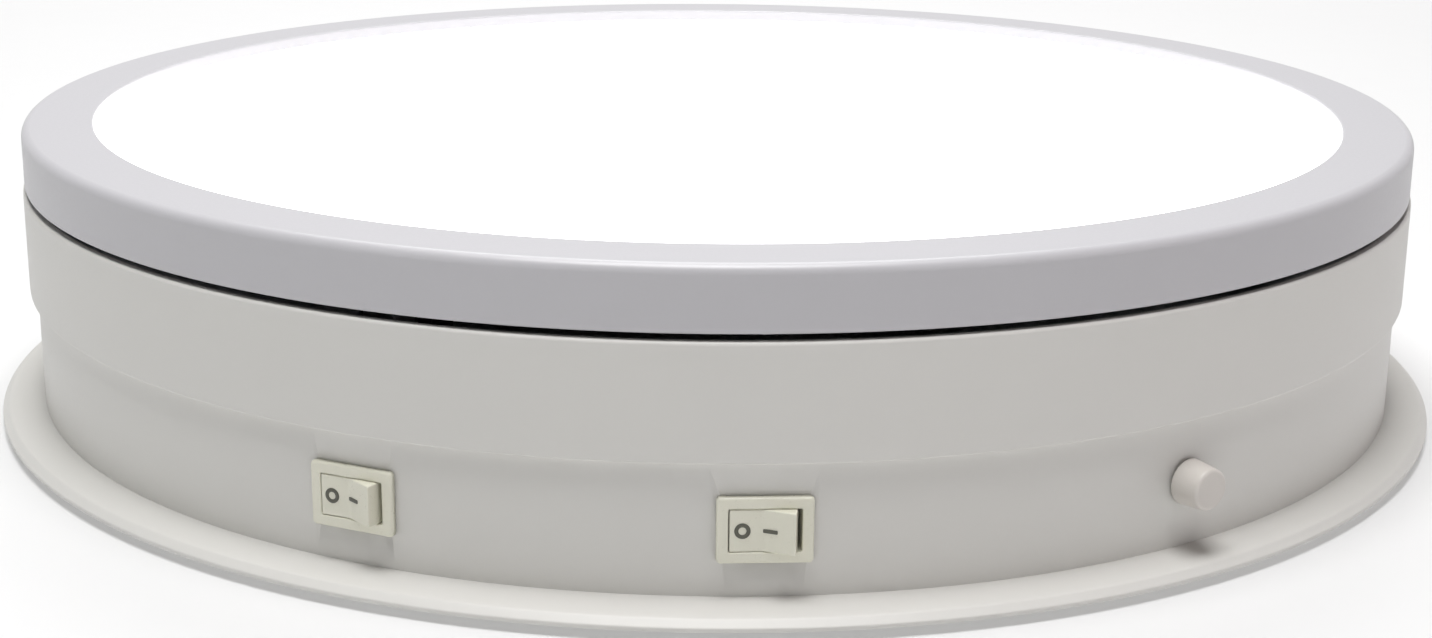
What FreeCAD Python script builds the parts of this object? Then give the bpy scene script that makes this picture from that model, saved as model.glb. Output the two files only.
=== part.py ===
"""Turntable display stand: a white drum-shaped base with two rocker switches and a speed knob,
carrying a motor-driven round platform whose top is a glowing panel inside a grey trim ring.

Frame: millimetres, origin at the centre of the footprint on the floor, +Z up, front along -Y.
"""
import FreeCAD
import Part
import math
import os
import types

import Sketcher
from FreeCAD import Placement, Rotation, Vector

doc = FreeCAD.newDocument("turntable_display_stand")

# name, value (mm, degrees or a count), meaning
SIZES = [
    ("ring_radius", 191.0, "outside of the trim ring"),
    ("ring_top", 80.0, "top of the trim ring, the highest point"),
    ("ring_bottom", 65.1, "lower edge of the trim ring"),
    ("ring_edge_rounding", 2.4, "rounding of the trim ring's upper outer edge"),
    ("ring_wall", 2.4, "thickness of the trim ring's wall"),
    ("lip_radius", 172.5, "inner edge of the trim ring's lip"),
    ("lip_thickness", 2.4, "thickness of the lip"),
    ("panel_depth", 3.5, "from the lip's top down to the panel"),
    ("panel_thickness", 2.9, "opal panel"),
    ("panel_radius", 178.8, "opal panel and its reflector"),
    ("drum_radius", 191.5, "upper drum of the base"),
    ("drum_top", 63.4, "upper edge of the drum"),
    ("drum_bottom", 36.5, "lower edge of the drum, where the waist starts"),
    ("waist_radius", 189.5, "waist of the base"),
    ("flange_top", 6.0, "top of the base plate's flange where the waist stands on it"),
    ("flange_shoulder_radius", 199.0, "end of the flange's sloping top"),
    ("flange_shoulder_height", 4.9, "height there"),
    ("flange_radius", 200.8, "widest edge of the flange"),
    ("flange_bottom", 2.3, "underside of the flange"),
    ("shell_wall", 2.5, "wall of the base shell"),
    ("ledge_width", 4.0, "ledge that carries the deck"),
    ("deck_bottom", 39.0, "underside of the deck plate"),
    ("deck_top", 42.0, "top of the deck plate"),
    ("deck_radius", 188.7, "deck plate"),
    ("boss_circle", 182.5, "circle of the shell's screw bosses"),
    ("boss_radius", 5.0, "shell screw boss"),
    ("boss_count", 6, "screw bosses round the shell"),
    ("boss_angle", 15.0, "first boss, from +X"),
    ("floor_bottom", 3.0, "underside of the base plate, inside its rim"),
    ("floor_top", 5.0, "top of the base plate, inside the shell"),
    ("floor_radius", 186.6, "inside the base plate's rim"),
    ("vent_count", 24, "vent slots in the base plate"),
    ("foot_circle", 160.0, "circle of the feet"),
    ("foot_radius", 10.0, "foot"),
    ("foot_count", 6, "feet"),
    ("foot_angle", 30.0, "first foot, from +X"),
    ("screw_radius", 1.5, "M3 shank"),
    ("screw_head_radius", 2.8, "M3 head"),
    ("screw_head_height", 1.6, "M3 head"),
    ("screw_clearance", 0.1, "clearance round a shank"),
    ("thread_clearance", 0.02, "drawn gap round a threaded shank"),
    ("ball_circle", 60.0, "circle of the bearing balls"),
    ("ball_height", 48.0, "height of the ball centres"),
    ("ball_radius", 4.0, "bearing ball"),
    ("ball_count", 24, "bearing balls"),
    ("ball_clearance", 0.05, "between ball and race or cage"),
    ("race_inner", 48.0, "inner radius of both races"),
    ("race_outer", 72.0, "outer radius of both races"),
    ("race_gap", 4.0, "between the two races"),
    ("race_height", 4.0, "height of a race"),
    ("race_flange_radius", 79.0, "screw flange of the lower race"),
    ("race_screw_circle", 75.5, "screws of the lower race"),
    ("race_screw_count", 6, "screws of the lower race"),
    ("gear_module", 1.5, "module of the gear pair"),
    ("gear_bottom", 57.0, "driven gear"),
    ("gear_height", 6.0, "driven gear"),
    ("gear_bore", 50.0, "driven gear on the hub"),
    ("pinion_height", 7.0, "drive pinion"),
    ("pinion_bottom", 56.5, "drive pinion"),
    ("motor_angle", 60.0, "direction of the motor, from +X"),
    ("shaft_radius", 3.0, "motor shaft and knob shaft"),
    ("shaft_clearance", 0.05, "running clearance of a shaft"),
    ("gearbox_radius", 25.0, "gearbox under the deck"),
    ("gearbox_height", 12.0, "gearbox under the deck"),
    ("motor_radius", 18.0, "motor can"),
    ("motor_height", 18.0, "motor can"),
    ("plate_bottom", 65.4, "underside of the rotating back plate"),
    ("plate_top", 67.4, "top of the back plate"),
    ("plate_radius", 188.3, "back plate"),
    ("ring_boss_circle", 184.0, "screw bosses inside the trim ring"),
    ("ring_boss_radius", 4.8, "screw boss inside the trim ring"),
    ("ring_boss_count", 8, "screw bosses inside the trim ring"),
    ("hub_screw_circle", 30.0, "screws between back plate and hub"),
    ("hub_screw_count", 6, "screws between back plate and hub"),
    ("lamp_board_radius", 165.0, "lamp board"),
    ("lamp_board_thickness", 1.6, "lamp board"),
    ("lamp_size", 5.0, "square lamp chip"),
    ("lamp_height", 1.6, "lamp chip"),
    ("slip_radius", 11.0, "slip ring body"),
    ("slip_bore", 4.08, "bore of the slip ring body"),
    ("slip_rotor_radius", 4.0, "slip ring rotor"),
    ("roller_circle", 158.0, "track of the support rollers"),
    ("roller_radius", 10.0, "support roller"),
    ("roller_width", 9.0, "support roller"),
    ("roller_count", 3, "support rollers"),
    ("roller_gap", 0.3, "between a roller and the back plate"),
    ("pin_radius", 2.0, "roller pin"),
    ("bracket_wall", 1.5, "roller bracket"),
    ("switch_height", 21.6, "height of the switches and the knob"),
    ("left_switch_angle", -28.0, "left switch, from the front"),
    ("bezel_length", 21.0, "switch bezel, along the waist"),
    ("bezel_height", 15.0, "switch bezel"),
    ("bezel_thickness", 1.5, "switch bezel"),
    ("bezel_gap", 0.1, "between the bezel and the waist"),
    ("housing_length", 18.8, "switch body"),
    ("housing_height", 12.8, "switch body"),
    ("housing_depth", 16.0, "switch body"),
    ("rocker_opening_length", 16.1, "opening of the bezel"),
    ("rocker_opening_height", 10.2, "opening of the bezel"),
    ("rocker_half_length", 7.2, "rocker, centre to end"),
    ("rocker_height", 9.6, "rocker, along its pivot"),
    ("rocker_pivot_depth", 0.3, "pivot behind the waist surface"),
    ("trunnion_radius", 0.9, "rocker pivot pin"),
    ("trunnion_span", 11.4, "over both pivot pins"),
    ("knob_angle", 31.1, "speed knob, from the front"),
    ("knob_base_radius", 5.5, "knob next to the waist"),
    ("knob_tip_radius", 4.8, "knob at its face"),
    ("knob_gap", 0.6, "between the knob and the waist"),
    ("knob_length", 7.4, "knob"),
    ("inlet_length", 24.0, "power inlet flange"),
    ("inlet_height", 16.0, "power inlet flange"),
    ("inlet_mouth_length", 16.0, "power inlet mouth"),
    ("inlet_mouth_height", 8.4, "power inlet mouth"),
    ("inlet_depth", 11.0, "power inlet mouth"),
    ("inlet_pin_radius", 1.15, "power inlet pin"),
    ("inlet_pin_pitch", 8.6, "between the two pins"),
    ("driver_length", 120.0, "lamp driver case"),
    ("driver_width", 44.0, "lamp driver case"),
    ("driver_height", 24.0, "lamp driver case"),
    ("board_length", 70.0, "control board"),
    ("board_width", 50.0, "control board"),
    ("board_height", 11.0, "underside of the control board"),
    ("board_thickness", 1.6, "control board"),
]
GEAR_TEETH = 96
PINION_TEETH = 16
PRESSURE_ANGLE = math.radians(20)
ROCKER_TILT = math.radians(12)

sheet = doc.addObject("Spreadsheet::Sheet", "Sizes")
for row, (name, value, meaning) in enumerate(SIZES, start=1):
    sheet.set("A%d" % row, meaning)
    sheet.set("B%d" % row, repr(value))
    sheet.setAlias("B%d" % row, name)
doc.recompute()


class Size:
    """A number together with the spreadsheet expression that gives it."""

    def __init__(self, value, text):
        self.value = value
        self.text = text

    def __add__(self, other):
        other = size(other)
        return Size(self.value + other.value, "(%s + %s)" % (self.text, other.text))

    def __sub__(self, other):
        other = size(other)
        return Size(self.value - other.value, "(%s - %s)" % (self.text, other.text))

    def __mul__(self, other):
        other = size(other)
        return Size(self.value * other.value, "(%s * %s)" % (self.text, other.text))

    def __truediv__(self, other):
        return self * (1.0 / other)

    def __neg__(self):
        return self * -1.0

    def __rsub__(self, other):
        return size(other) - self

    __radd__ = __add__
    __rmul__ = __mul__


def size(number):
    return number if isinstance(number, Size) else Size(float(number), "%.10f" % number)


S = types.SimpleNamespace(**{name: Size(value, "Sizes." + name) for name, value, _ in SIZES})


def bind(obj, prop, number):
    obj.setExpression(prop, size(number).text)


def new_part(label, angle=None):
    """A body whose Label is its file name, turned about Z by an angle from the sheet."""
    body = doc.addObject("PartDesign::Body", label)
    body.Label = label
    if angle is not None:
        body.Placement = Placement(Vector(), Rotation(Vector(0, 0, 1), size(angle).value))
        bind(body, "Placement.Rotation.Angle", angle)
    return body


def origin(body, role):
    return [f for f in body.Origin.OriginFeatures if f.Role == role][0]


def sketch(body, plane, lift=0.0, turn=None):
    """Sketch on an origin plane, moved along its normal; turn swings an XZ sketch about Z."""
    s = body.newObject("Sketcher::SketchObject", body.Name + "_outline")
    s.AttachmentSupport = [(origin(body, plane + "_Plane"), "")]
    s.MapMode = "FlatFace"
    turned = Rotation(Vector(0, 1, 0), size(turn).value) if turn is not None else Rotation()
    s.AttachmentOffset = Placement(Vector(0, 0, size(lift).value), turned)
    bind(s, "AttachmentOffset.Base.z", lift)
    if turn is not None:
        bind(s, "AttachmentOffset.Rotation.Angle", turn)
    return s


def hold(s, index, point, x, y):
    """Tie a point of a sketch to its coordinates in the sheet."""
    for kind, number in (("DistanceX", size(x)), ("DistanceY", size(y))):
        c = s.addConstraint(Sketcher.Constraint(kind, -1, 1, index, point, number.value))
        s.setExpression("Constraints[%d]" % c, number.text)


def polygon(s, points):
    points = [(size(x), size(y)) for x, y in points]
    first = s.GeometryCount
    count = len(points)
    for i, (x, y) in enumerate(points):
        nx, ny = points[(i + 1) % count]
        s.addGeometry(Part.LineSegment(Vector(x.value, y.value, 0), Vector(nx.value, ny.value, 0)), False)
    for i in range(count):
        s.addConstraint(Sketcher.Constraint("Coincident", first + i, 2, first + (i + 1) % count, 1))
    for i, (x, y) in enumerate(points):
        hold(s, first + i, 1, x, y)
    return s


def rectangle(s, x, y, length, height):
    x, y, length, height = size(x), size(y), size(length), size(height)
    return polygon(s, [(x - length / 2, y - height / 2), (x + length / 2, y - height / 2),
                       (x + length / 2, y + height / 2), (x - length / 2, y + height / 2)])


def circle(s, x, y, radius):
    x, y, radius = size(x), size(y), size(radius)
    g = s.addGeometry(Part.Circle(Vector(x.value, y.value, 0), Vector(0, 0, 1), radius.value), False)
    hold(s, g, 3, x, y)
    c = s.addConstraint(Sketcher.Constraint("Radius", g, radius.value))
    s.setExpression("Constraints[%d]" % c, radius.text)
    return s


def feature(body, kind, profile, word):
    f = body.newObject("PartDesign::" + kind, "%s_%s" % (body.Name, word))
    f.Profile = profile
    profile.Visibility = False
    body.Tip = f
    return f


def pad(body, profile, length, midplane=False, inward=False):
    f = feature(body, "Pad", profile, "pad")
    bind(f, "Length", length)
    f.Midplane = midplane
    f.Reversed = inward
    return f


def pocket(body, profile, length=None, midplane=False, outward=False):
    f = feature(body, "Pocket", profile, "pocket")
    if length is None:
        f.Type = "ThroughAll"
    else:
        bind(f, "Length", length)
    f.Midplane = midplane
    f.Reversed = outward
    return f


def lathe(body, points, plane="XZ", lift=0.0, cut=False):
    """Turn a (radius, height) outline about the sketch's vertical axis."""
    s = polygon(sketch(body, plane, lift), points)
    f = feature(body, "Groove" if cut else "Revolution", s, "turned")
    f.ReferenceAxis = (s, ["V_Axis"])
    f.Angle = 360
    return f


def lathe_at(body, centre, points, cut=False):
    """Turn an outline about a vertical axis that stands on +X at a distance from the middle."""
    centre = size(centre)
    s = polygon(sketch(body, "XZ"), [(centre + x, y) for x, y in points])
    low, high = points[0][1], points[-1][1]
    axis = s.addGeometry(Part.LineSegment(Vector(centre.value, size(low).value, 0),
                                          Vector(centre.value, size(high).value + 1, 0)), True)
    hold(s, axis, 1, centre, low)
    hold(s, axis, 2, centre, size(high) + 1)
    f = feature(body, "Groove" if cut else "Revolution", s, "turned")
    f.ReferenceAxis = (s, ["Axis0"])
    f.Angle = 360
    return f


def around(body, originals, count):
    """Repeat features evenly about Z."""
    f = body.newObject("PartDesign::PolarPattern", body.Name + "_around")
    f.Originals = originals
    f.Axis = (origin(body, "Z_Axis"), [""])
    f.Angle = 360
    bind(f, "Occurrences", count)
    body.Tip = f
    return f


def hole_ring(body, height, circle_radius, hole_radius, count, angle=0.0, depth=None, up=False):
    """A ring of round holes, from a height downwards, or upwards."""
    a = math.radians(angle)
    s = circle(sketch(body, "XY", height), size(circle_radius) * math.cos(a),
               size(circle_radius) * math.sin(a), hole_radius)
    return around(body, [pocket(body, s, depth, outward=up)], count)


def fillet(body, radius, test):
    """Round the edges of the body so far whose bounding box passes the test."""
    doc.recompute()
    base = body.Tip
    names = ["Edge%d" % (i + 1) for i, e in enumerate(base.Shape.Edges) if test(e.BoundBox)]
    f = body.newObject("PartDesign::Fillet", body.Name + "_rounding")
    f.Base = (base, names)
    bind(f, "Radius", radius)
    body.Tip = f
    return f


def at_height(z, radius):
    """Test for a circular edge of a given radius at a given height."""
    z, radius = size(z).value, size(radius).value
    return lambda b: abs(b.ZMin - z) < 1e-3 and abs(b.ZMax - z) < 1e-3 and abs(b.XMax - radius) < 0.01


def disc(body, bottom, top, outer, inner=None):
    """A flat disc, with a round hole in the middle if asked."""
    s = circle(sketch(body, "XY", bottom), 0, 0, outer)
    if inner is not None:
        circle(s, 0, 0, inner)
    return pad(body, s, size(top) - bottom)


def screws(label, ring, count, head_face, tip, angle=0.0, up=True):
    """A ring of pan-head screws; up means the shank points up from the head face."""
    body = new_part(label, angle)
    head_face, tip = size(head_face), size(tip)
    head_end = head_face - S.screw_head_height if up else head_face + S.screw_head_height
    around(body, [lathe_at(body, ring, [
        (0, tip), (S.screw_radius, tip), (S.screw_radius, head_face),
        (S.screw_head_radius, head_face), (S.screw_head_radius, head_end), (0, head_end)])], count)
    return body


def box(body, x, y, bottom, length, width, height):
    return pad(body, rectangle(sketch(body, "XY", bottom), x, y, length, width), height)


shank_hole = S.screw_radius + S.screw_clearance
thread_hole = S.screw_radius + S.thread_clearance

# ---------------------------------------------------------------- base shell
waist_inner = S.waist_radius - S.shell_wall
drum_inner = S.drum_radius - S.shell_wall
ledge_inner = waist_inner - S.ledge_width

shell = new_part("base_shell")
lathe(shell, [
    (waist_inner, S.flange_top), (S.waist_radius, S.flange_top),
    (S.waist_radius, S.drum_bottom), (S.drum_radius, S.drum_bottom),
    (S.drum_radius, S.drum_top), (drum_inner, S.drum_top), (drum_inner, S.deck_bottom),
    (ledge_inner, S.deck_bottom), (ledge_inner, S.deck_bottom - 3.0), (waist_inner, S.deck_bottom - 7.0)])
a = math.radians(S.boss_angle.value)
s = circle(sketch(shell, "XY", S.flange_top), S.boss_circle * math.cos(a),
           S.boss_circle * math.sin(a), S.boss_radius)
around(shell, [pad(shell, s, S.deck_bottom - S.flange_top)], S.boss_count)
hole_ring(shell, S.deck_bottom, S.boss_circle, thread_hole, S.boss_count, S.boss_angle.value,
          S.deck_bottom - S.flange_top)
for turn in (0.0, S.left_switch_angle):
    s = rectangle(sketch(shell, "XZ", 0.0, turn), 0, S.switch_height,
                  S.housing_length + 0.3, S.housing_height + 0.3)
    pocket(shell, s, S.drum_radius + 10, outward=True)
s = circle(sketch(shell, "XZ", 0.0, S.knob_angle), 0, S.switch_height, S.shaft_radius + 0.6)
pocket(shell, s, S.drum_radius + 10, outward=True)
s = rectangle(sketch(shell, "XZ", 0.0, 180.0), 0, S.switch_height,
              S.inlet_length - 3.0, S.inlet_height - 3.0)
pocket(shell, s, S.drum_radius + 10, outward=True)
fillet(shell, 0.8, at_height(S.drum_top, S.drum_radius))
fillet(shell, 0.6, at_height(S.drum_bottom, S.drum_radius))

# ---------------------------------------------------------------- plates and feet
motor_distance = S.gear_module * ((GEAR_TEETH + PINION_TEETH) / 2)
motor_a = math.radians(S.motor_angle.value)
motor_x, motor_y = motor_distance * math.cos(motor_a), motor_distance * math.sin(motor_a)
motor_screw_offset = 20.0
motor_screw_turns = (0, 90, 270)

deck = new_part("deck_plate")
disc(deck, S.deck_bottom, S.deck_top, S.deck_radius, 9.0)
hole_ring(deck, S.deck_top, S.boss_circle, shank_hole, S.boss_count, S.boss_angle.value)
hole_ring(deck, S.deck_top, S.race_screw_circle, thread_hole, S.race_screw_count)
hole_ring(deck, S.deck_top, 16.0, thread_hole, 3)
hole_ring(deck, S.deck_top, 140.0, 6.0, 3, 30.0)
for offset in (-11.5, 11.5):
    around(deck, [pocket(deck, circle(sketch(deck, "XY", S.deck_top), S.roller_circle, offset,
                                      thread_hole))], S.roller_count)
s = circle(sketch(deck, "XY", S.deck_top), motor_x, motor_y, 8.0)
for turn in motor_screw_turns:
    t = motor_a + math.radians(turn)
    circle(s, motor_x + motor_screw_offset * math.cos(t), motor_y + motor_screw_offset * math.sin(t),
           shank_hole)
pocket(deck, s)

boss_seat_radius = S.boss_circle - S.boss_radius - 0.4
floor = new_part("base_plate")
lathe(floor, [
    (0, S.floor_bottom), (S.floor_radius, S.floor_bottom), (S.floor_radius, S.flange_bottom),
    (S.flange_radius, S.flange_bottom), (S.flange_radius, S.flange_bottom + 1.0),
    (S.flange_shoulder_radius, S.flange_shoulder_height), (S.waist_radius, S.flange_top),
    (boss_seat_radius, S.flange_top), (boss_seat_radius, S.floor_top), (0, S.floor_top)])
hole_ring(floor, S.flange_top, S.boss_circle, shank_hole, S.boss_count, S.boss_angle.value)
hole_ring(floor, S.floor_top, S.foot_circle, shank_hole, S.foot_count, S.foot_angle.value)
for middle in (62.0, 112.0):
    s = rectangle(sketch(floor, "XY", S.floor_top), middle, 0, 22.0, 3.0)
    around(floor, [pocket(floor, s)], S.vent_count)
fillet(floor, 0.8, at_height(S.flange_bottom + 1.0, S.flange_radius))

feet = new_part("rubber_feet", S.foot_angle)
around(feet, [lathe_at(feet, S.foot_circle, [
    (5.0, 0.0), (S.foot_radius - 0.7, 0.0), (S.foot_radius, 0.9), (S.foot_radius, S.floor_bottom),
    (shank_hole, S.floor_bottom), (shank_hole, 2.0), (5.0, 2.0)])], S.foot_count)

foot_screws = new_part("foot_screws", S.foot_angle)
around(foot_screws, [lathe_at(foot_screws, S.foot_circle, [
    (0, 8.4), (S.screw_radius, 8.4), (S.screw_radius, 2.0), (3.0, 2.0), (3.0, 0.7), (0, 0.7)])],
    S.foot_count)

foot_nuts = new_part("foot_nuts", S.foot_angle)
s = polygon(sketch(foot_nuts, "XY", S.floor_top),
            [(S.foot_circle + 3.175 * math.cos(math.radians(60 * k)),
              3.175 * math.sin(math.radians(60 * k))) for k in range(6)])
circle(s, S.foot_circle, 0, thread_hole)
around(foot_nuts, [pad(foot_nuts, s, 2.4)], S.foot_count)

screws("bottom_screws", S.boss_circle, S.boss_count, S.floor_bottom, 14.0, S.boss_angle)
screws("deck_screws", S.boss_circle, S.boss_count, S.deck_top, 31.0, S.boss_angle, up=False)

# ---------------------------------------------------------------- thrust ball bearing
lower_top = S.ball_height - S.race_gap / 2
upper_bottom = S.ball_height + S.race_gap / 2
groove_radius = S.ball_radius + S.ball_clearance


def ball_track(body):
    s = circle(sketch(body, "XZ"), S.ball_circle, S.ball_height, groove_radius)
    f = feature(body, "Groove", s, "track")
    f.ReferenceAxis = (s, ["V_Axis"])
    f.Angle = 360


lower_race = new_part("lower_race")
lathe(lower_race, [
    (S.race_inner, S.deck_top), (S.race_flange_radius, S.deck_top), (S.race_flange_radius, S.deck_top + 1.5),
    (S.race_outer, S.deck_top + 1.5), (S.race_outer, lower_top), (S.race_inner, lower_top)])
ball_track(lower_race)
hole_ring(lower_race, S.deck_top + 1.5, S.race_screw_circle, shank_hole, S.race_screw_count)
screws("lower_race_screws", S.race_screw_circle, S.race_screw_count, S.deck_top + 1.5,
       S.deck_bottom + 0.3, up=False)

upper_race = new_part("upper_race")
disc(upper_race, upper_bottom, upper_bottom + S.race_height, S.race_outer, S.race_inner + 0.05)
ball_track(upper_race)

balls = new_part("bearing_balls")
ball = balls.newObject("PartDesign::AdditiveSphere", "ball")
bind(ball, "Radius", S.ball_radius)
ball.Placement = Placement(Vector(S.ball_circle.value, 0, S.ball_height.value), Rotation())
bind(ball, "Placement.Base.x", S.ball_circle)
bind(ball, "Placement.Base.z", S.ball_height)
around(balls, [ball], S.ball_count)

cage = new_part("ball_cage")
disc(cage, S.ball_height - 0.8, S.ball_height + 0.8, S.ball_circle + 7.0, S.ball_circle - 7.0)
hole_ring(cage, S.ball_height + 0.8, S.ball_circle, groove_radius, S.ball_count)

# ---------------------------------------------------------------- hub and slip ring
web_bottom = S.plate_bottom - 3.0
hub_top = upper_bottom + S.race_height

hub = new_part("hub")
lathe(hub, [
    (44.0, hub_top - 3.0), (S.race_inner, hub_top - 3.0), (S.race_inner, hub_top),
    (S.race_outer - 6.0, hub_top), (S.race_outer - 6.0, S.gear_bottom), (S.gear_bore, S.gear_bottom),
    (S.gear_bore, S.plate_bottom), (8.1, S.plate_bottom), (8.1, web_bottom), (44.0, web_bottom)])
hole_ring(hub, S.plate_bottom, S.hub_screw_circle, thread_hole, S.hub_screw_count, 0.0, 5.0)

slip_body = new_part("slip_ring_body")
lathe(slip_body, [
    (0, S.deck_top), (20.0, S.deck_top), (20.0, S.deck_top + 2.5), (S.slip_radius, S.deck_top + 2.5),
    (S.slip_radius, S.gear_bottom), (S.slip_bore, S.gear_bottom), (S.slip_bore, S.gear_bottom - 8.0),
    (0, S.gear_bottom - 8.0)])
hole_ring(slip_body, S.deck_top + 2.5, 16.0, shank_hole, 3)
screws("slip_ring_screws", 16.0, 3, S.deck_top + 2.5, S.deck_bottom - 1.0, up=False)

slip_rotor = new_part("slip_ring_rotor")
lathe(slip_rotor, [
    (0, S.gear_bottom - 7.5), (S.slip_rotor_radius, S.gear_bottom - 7.5),
    (S.slip_rotor_radius, web_bottom - 3.0), (8.0, web_bottom - 3.0), (8.0, S.plate_bottom - 0.5),
    (0, S.plate_bottom - 0.5)])


# ---------------------------------------------------------------- gear pair
def involute(angle):
    return math.tan(angle) - angle


def add_teeth(body, teeth, bottom, height):
    """One involute tooth on +X in modules, repeated about Z. The tooth is thinned for backlash."""
    pitch, root, tip = teeth / 2, teeth / 2 - 1.25, teeth / 2 + 0.9
    base = pitch * math.cos(PRESSURE_ANGLE)
    half_tooth = (math.pi / 2 - 0.12) / teeth
    radii = [max(base, root) + (tip - max(base, root)) * k / 4 for k in range(5)]
    flank = [(r, half_tooth + involute(PRESSURE_ANGLE) - involute(math.acos(base / r))) for r in radii]
    flank.insert(0, (root - 0.4, flank[0][1]))
    outline = [(r, -w) for r, w in flank] + [(r, w) for r, w in reversed(flank)]
    s = polygon(sketch(body, "XY", bottom),
                [(S.gear_module * (r * math.cos(w)), S.gear_module * (r * math.sin(w))) for r, w in outline])
    tooth = pad(body, s, height)
    f = body.newObject("PartDesign::PolarPattern", body.Name + "_teeth")
    f.Originals = [tooth]
    f.Axis = (origin(body, "Z_Axis"), [""])
    f.Angle = 360
    f.Occurrences = teeth
    body.Tip = f


gear = new_part("driven_gear")
disc(gear, S.gear_bottom, S.gear_bottom + S.gear_height, S.gear_module * (GEAR_TEETH / 2 - 1.25),
     S.gear_bore + 0.03)
add_teeth(gear, GEAR_TEETH, S.gear_bottom, S.gear_height)
hole_ring(gear, S.gear_bottom + S.gear_height, 60.0, 6.0, 12)

pinion = new_part("drive_pinion")
disc(pinion, S.pinion_bottom, S.pinion_bottom + S.pinion_height,
     S.gear_module * (PINION_TEETH / 2 - 1.25), S.shaft_radius + S.thread_clearance)
add_teeth(pinion, PINION_TEETH, S.pinion_bottom, S.pinion_height)

shaft = new_part("motor_shaft")
disc(shaft, S.deck_bottom - 9.0, S.pinion_bottom + S.pinion_height + 0.5, S.shaft_radius)

for body, turn in ((pinion, S.motor_angle.value + 180.0 / PINION_TEETH), (shaft, 0.0)):
    body.Placement = Placement(Vector(motor_x.value, motor_y.value, 0), Rotation(Vector(0, 0, 1), turn))
    bind(body, "Placement.Base.x", motor_x)
    bind(body, "Placement.Base.y", motor_y)

# ---------------------------------------------------------------- geared motor
gearbox_bottom = S.deck_bottom - S.gearbox_height
gearbox = new_part("gearbox_case", S.motor_angle)
lathe_at(gearbox, motor_distance, [
    (0, gearbox_bottom), (S.gearbox_radius, gearbox_bottom), (S.gearbox_radius, S.deck_bottom),
    (6.0, S.deck_bottom), (6.0, S.deck_bottom + 2.0),
    (S.shaft_radius + S.shaft_clearance, S.deck_bottom + 2.0),
    (S.shaft_radius + S.shaft_clearance, gearbox_bottom + 2.5), (0, gearbox_bottom + 2.5)])
s = sketch(gearbox, "XY", S.deck_bottom)
for turn in motor_screw_turns:
    t = math.radians(turn)
    circle(s, motor_distance + motor_screw_offset * math.cos(t),
           motor_screw_offset * math.sin(t), thread_hole)
pocket(gearbox, s, 9.0)

motor_can = new_part("motor_can", S.motor_angle)
lathe_at(motor_can, motor_distance, [
    (0, gearbox_bottom - S.motor_height), (S.motor_radius - 1.5, gearbox_bottom - S.motor_height),
    (S.motor_radius, gearbox_bottom - S.motor_height + 1.5), (S.motor_radius, gearbox_bottom),
    (0, gearbox_bottom)])

motor_screws = new_part("motor_screws", S.motor_angle)
for turn in motor_screw_turns:
    t = math.radians(turn)
    x, y = motor_distance + motor_screw_offset * math.cos(t), motor_screw_offset * math.sin(t)
    pad(motor_screws, circle(sketch(motor_screws, "XY", S.deck_bottom - 7.0), x, y, S.screw_radius),
        S.deck_top - S.deck_bottom + 7.0)
    pad(motor_screws, circle(sketch(motor_screws, "XY", S.deck_top), x, y, S.screw_head_radius),
        S.screw_head_height)

# ---------------------------------------------------------------- support rollers
roller_axis = S.plate_bottom - S.roller_gap - S.roller_radius
ear_inner, ear_outer = S.roller_circle - 7.0, S.roller_circle + 7.0

brackets = new_part("roller_brackets")
s = polygon(sketch(brackets, "XZ"), [
    (ear_inner, S.deck_top), (ear_outer, S.deck_top), (ear_outer, roller_axis + 4.5),
    (ear_outer - S.bracket_wall, roller_axis + 4.5),
    (ear_outer - S.bracket_wall, S.deck_top + S.bracket_wall),
    (ear_inner + S.bracket_wall, S.deck_top + S.bracket_wall),
    (ear_inner + S.bracket_wall, roller_axis + 4.5),
    (ear_inner, roller_axis + 4.5)])
channel = pad(brackets, s, 14.0, midplane=True)
tabs = box(brackets, S.roller_circle, 0, S.deck_top, 14.0, 31.0, S.bracket_wall)
eye = pocket(brackets, circle(sketch(brackets, "YZ"), 0, roller_axis, S.pin_radius + 0.02),
             S.roller_circle + 20.0, outward=True)
screw_eyes = pocket(brackets, circle(circle(sketch(brackets, "XY", S.deck_top + S.bracket_wall),
                    S.roller_circle, 11.5, shank_hole), S.roller_circle, -11.5, shank_hole), 3.0)
around(brackets, [channel, tabs, eye, screw_eyes], S.roller_count)

pins = new_part("roller_pins")
s = circle(sketch(pins, "YZ", ear_inner - 0.8), 0, roller_axis, S.pin_radius)
around(pins, [pad(pins, s, 15.6)], S.roller_count)

roller_screws = new_part("roller_screws")
repeated = []
for y in (-11.5, 11.5):
    shanks = circle(sketch(roller_screws, "XY", S.deck_bottom - 1.0), S.roller_circle, y, S.screw_radius)
    repeated.append(pad(roller_screws, shanks, S.deck_top - S.deck_bottom + S.bracket_wall + 1.0))
    heads = circle(sketch(roller_screws, "XY", S.deck_top + S.bracket_wall), S.roller_circle, y,
                   S.screw_head_radius)
    repeated.append(pad(roller_screws, heads, S.screw_head_height))
around(roller_screws, repeated, S.roller_count)

for number in range(3):
    roller = new_part("roller_%d" % (number + 1), 120.0 * number)
    s = circle(sketch(roller, "YZ", S.roller_circle - S.roller_width / 2), 0, roller_axis, S.roller_radius)
    circle(s, 0, roller_axis, S.pin_radius + S.shaft_clearance)
    pad(roller, s, S.roller_width)

# ---------------------------------------------------------------- rotating platform
lip_bottom = S.ring_top - S.lip_thickness
panel_top = S.ring_top - S.panel_depth
panel_bottom = panel_top - S.panel_thickness
ring_inner = S.ring_radius - S.ring_wall

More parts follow.
